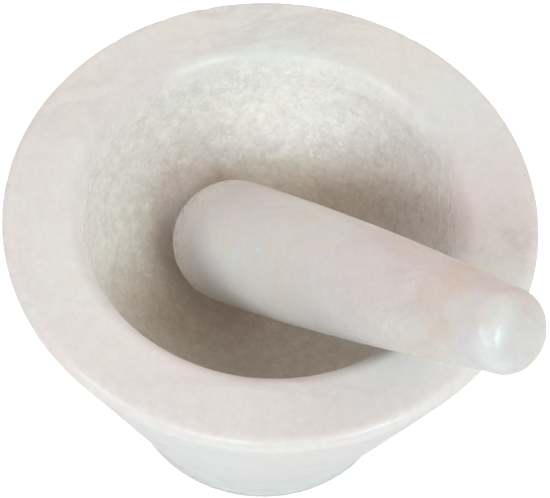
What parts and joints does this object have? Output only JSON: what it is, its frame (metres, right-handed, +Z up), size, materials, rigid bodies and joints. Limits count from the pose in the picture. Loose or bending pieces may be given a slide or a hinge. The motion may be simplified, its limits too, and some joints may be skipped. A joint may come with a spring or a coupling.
{
  "type": "mortar and pestle",
  "caption": "White marble mortar with a wide flat rim and a rough round bowl, and a loose club-shaped pestle lying in it.",
  "frame": {"origin": "centre of the mortar's flat foot, on the plane it stands on", "axes": "+Z up along the mortar's axis; the pestle's handle points towards +X, -Y and +Z"},
  "size_m": [0.15, 0.15, 0.1549],
  "materials": {
    "mortar_marble": "white marble: honed rim and outside, rough ground matt bowl, faint grey and pink clouding",
    "pestle_marble": "white marble with a slight pink grey tint, smooth honed and softly glossy, faint lengthwise veins"
  },
  "bodies": {
    "mortar": {"mortar": "mortar_marble"},
    "pestle": {"pestle": "pestle_marble"}
  },
  "joints": [
    {"name": "pestle_lift", "type": "slide", "parent": "mortar", "child": "pestle", "axis": [0, 0, 1], "range_m": [0, 0.09]}
  ]
}
